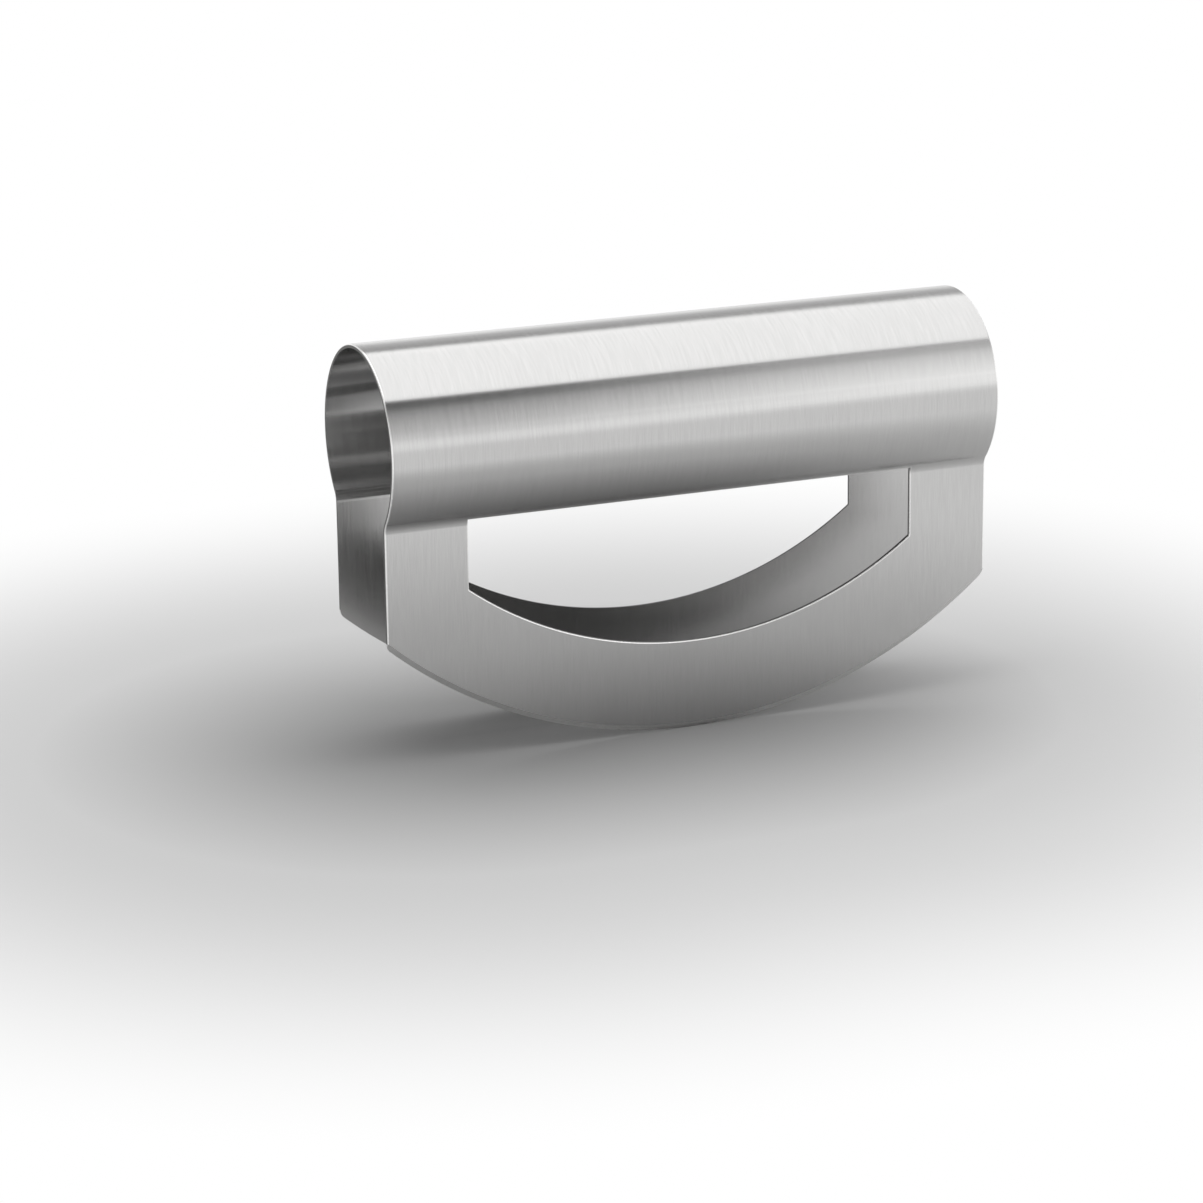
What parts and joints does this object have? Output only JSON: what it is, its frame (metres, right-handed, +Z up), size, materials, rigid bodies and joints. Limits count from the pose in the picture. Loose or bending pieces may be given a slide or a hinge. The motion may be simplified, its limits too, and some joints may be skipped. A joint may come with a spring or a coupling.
{
  "type": "mezzaluna",
  "caption": "Herb rocker folded from sheet steel: an open rolled-tube grip over parallel curved blades with ground edges and finger windows.",
  "frame": {"origin": "middle of the underside, level with the lowest points of the cutting edges", "axes": "+Z up through the grip, +X along the blades, +Y from the front blade to the rear blade"},
  "size_m": [0.16, 0.0484, 0.1004],
  "materials": {
    "brushed_steel": "fine brushed, the lines running around the grip and up the blades; edge ground bright"
  },
  "bodies": {
    "root": {"handle": "brushed_steel", "front_blade": "brushed_steel", "rear_blade": "brushed_steel"}
  },
  "joints": []
}
